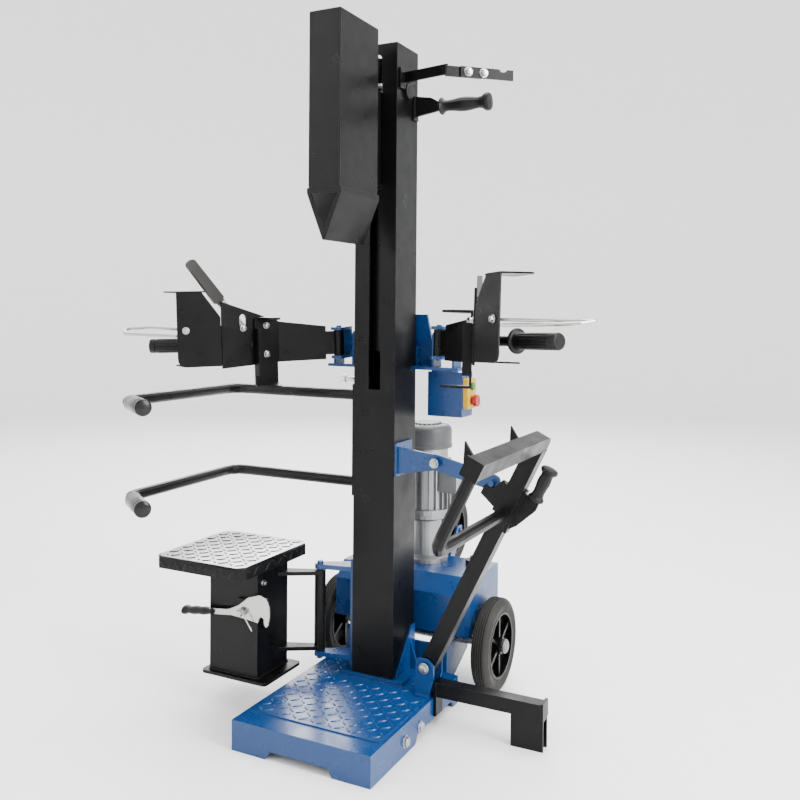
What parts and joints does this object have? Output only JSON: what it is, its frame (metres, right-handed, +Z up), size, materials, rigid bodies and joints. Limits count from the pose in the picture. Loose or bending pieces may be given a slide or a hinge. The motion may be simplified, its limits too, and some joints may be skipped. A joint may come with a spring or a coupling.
{
  "type": "log splitter",
  "caption": "Upright hydraulic log splitter with a wedge blade on a slotted column, two-hand control arms, swing-in table, log lifter, catch hoop and transport wheels.",
  "frame": {"origin": "on the floor under the middle of the bounding box, which is on the axis of the column", "axes": "+X to the right of the machine seen from the front, +Y to the back, +Z up"},
  "size_m": [1.2742, 1.0996, 1.737],
  "materials": {
    "black_paint": "satin powder coat, light wear on edges",
    "blue_paint": "gloss powder coat, light dust",
    "zinc": "bright zinc plate",
    "polished_rod": "ground and hard chromed",
    "tyre_rubber": "matt rubber",
    "grip_rubber": "ribbed moulded rubber",
    "hose_rubber": "smooth hose cover",
    "cast_grey": "die cast, as cast",
    "cowl_grey": "grey painted pressing",
    "lever_coating": "dipped plastic over a zinc blade",
    "yellow_plastic": "moulded",
    "red_plastic": "moulded",
    "green_plastic": "moulded"
  },
  "bodies": {
    "frame": {"base_frame": "blue_paint", "column": "black_paint", "outrigger": "black_paint", "cylinder_pin": "zinc", "piston_rod": "polished_rod", "arm_bracket": "blue_paint", "oil_tank": "blue_paint", "filler_cap": "grip_rubber", "bell_housing": "cast_grey", "gear_pump": "cast_grey", "motor_housing": "cast_grey", "fan_cowl": "cowl_grey", "valve_block": "cast_grey", "pressure_hose": "hose_rubber", "switch_box": "blue_paint", "switch_base": "yellow_plastic", "power_inlet": "red_plastic", "axle": "zinc", "support_fork": "blue_paint", "table_hinge": "blue_paint", "catch_hoop": "black_paint", "hook_arm": "black_paint", "handle_bracket": "black_paint", "top_grip": "grip_rubber", "lifter_clevis": "blue_paint", "latch_bracket": "blue_paint"},
    "blade": {"cylinder_barrel": "black_paint", "blade_carriage": "black_paint", "blade_body": "black_paint", "blade_wedge": "black_paint"},
    "table": {"table_top": "black_paint", "table_pedestal": "black_paint"},
    "latch": {"latch_hook": "zinc"},
    "lifter": {"lifter_frame": "black_paint", "lifter_grip": "grip_rubber"},
    "link": {"latch_link": "blue_paint"},
    "spool": {"valve_spool": "polished_rod"},
    "stop": {"stop_button": "red_plastic"},
    "start": {"start_button": "green_plastic"},
    "wheel_left": {"tyre_left": "tyre_rubber", "rim_left": "black_paint"},
    "wheel_right": {"tyre_right": "tyre_rubber", "rim_right": "black_paint"},
    "wheel_support": {"support_tyre": "tyre_rubber", "support_rim": "black_paint"},
    "yoke_body_left": {"yoke_left": "blue_paint"},
    "arm_body_left": {"arm_left": "black_paint", "hand_guard_left": "black_paint", "hand_grip_left": "grip_rubber", "wire_guard_left": "zinc", "log_claw_left": "black_paint"},
    "lever_left": {"clamp_lever_left": "lever_coating"},
    "yoke_body_right": {"yoke_right": "blue_paint"},
    "arm_body_right": {"arm_right": "black_paint", "hand_guard_right": "black_paint", "hand_grip_right": "grip_rubber", "wire_guard_right": "zinc", "log_claw_right": "black_paint"},
    "lever_right": {"clamp_lever_right": "lever_coating"}
  },
  "joints": [
    {"name": "blade_stroke", "type": "slide", "parent": "frame", "child": "blade", "axis": [0, 0, -1], "range_m": [0, 0.5]},
    {"name": "arm_tilt_left", "type": "hinge", "parent": "frame", "child": "yoke_body_left", "pos_m": [-0.15, 0.06, 0.95], "axis": [1, 0, 0], "range_deg": [-13, 8]},
    {"name": "arm_swing_left", "type": "hinge", "parent": "yoke_body_left", "child": "arm_body_left", "pos_m": [-0.15, 0.01207, 0.94732], "axis": [0, -0.0558, 0.9984], "range_deg": [-8, 30]},
    {"name": "clamp_lever_left", "type": "hinge", "parent": "arm_body_left", "child": "lever_left", "pos_m": [-0.33386, -0.18444, 0.98641], "axis": [0.9256, -0.3778, -0.0211], "range_deg": [-99, 0]},
    {"name": "arm_tilt_right", "type": "hinge", "parent": "frame", "child": "yoke_body_right", "pos_m": [0.15, 0.06, 0.95], "axis": [1, 0, 0], "range_deg": [-8, 13]},
    {"name": "arm_swing_right", "type": "hinge", "parent": "yoke_body_right", "child": "arm_body_right", "pos_m": [0.15, 0.01207, 0.95268], "axis": [0, 0.0558, 0.9984], "range_deg": [-30, 8]},
    {"name": "clamp_lever_right", "type": "hinge", "parent": "arm_body_right", "child": "lever_right", "pos_m": [0.33386, -0.17885, 1.01343], "axis": [-0.9256, -0.3778, 0.0211], "range_deg": [-99, 0]},
    {"name": "spool_travel", "type": "slide", "parent": "frame", "child": "spool", "axis": [1, 0, 0], "range_m": [-0.006, 0.006], "stiffness_N_per_m": 2500},
    {"name": "table_swing", "type": "hinge", "parent": "frame", "child": "table", "pos_m": [-0.156, -0.0675, 0.24], "axis": [0, 0, 1], "range_deg": [0, 90]},
    {"name": "table_latch", "type": "hinge", "parent": "table", "child": "latch", "pos_m": [-0.281, -0.24, 0.261], "axis": [0, -1, 0], "range_deg": [0, 35]},
    {"name": "lifter_fold", "type": "hinge", "parent": "frame", "child": "lifter", "pos_m": [0.166, -0.065, 0.148], "axis": [0, 1, 0], "range_deg": [0, 64]},
    {"name": "link_lift", "type": "hinge", "parent": "frame", "child": "link", "pos_m": [0.178, -0.065, 0.655], "axis": [0, -1, 0], "range_deg": [0, 40]},
    {"name": "stop_press", "type": "slide", "parent": "frame", "child": "stop", "axis": [-1, 0, 0], "range_m": [0, 0.004], "stiffness_N_per_m": 900},
    {"name": "start_press", "type": "slide", "parent": "frame", "child": "start", "axis": [-1, 0, 0], "range_m": [0, 0.004], "stiffness_N_per_m": 900},
    {"name": "wheel_spin_left", "type": "hinge", "parent": "frame", "child": "wheel_left", "pos_m": [-0.242, 0.192, 0.125], "axis": [1, 0, 0], "continuous": true},
    {"name": "wheel_spin_right", "type": "hinge", "parent": "frame", "child": "wheel_right", "pos_m": [0.242, 0.192, 0.125], "axis": [1, 0, 0], "continuous": true},
    {"name": "support_wheel_spin", "type": "hinge", "parent": "frame", "child": "wheel_support", "pos_m": [0, 0.4398, 0.358], "axis": [1, 0, 0], "continuous": true}
  ]
}
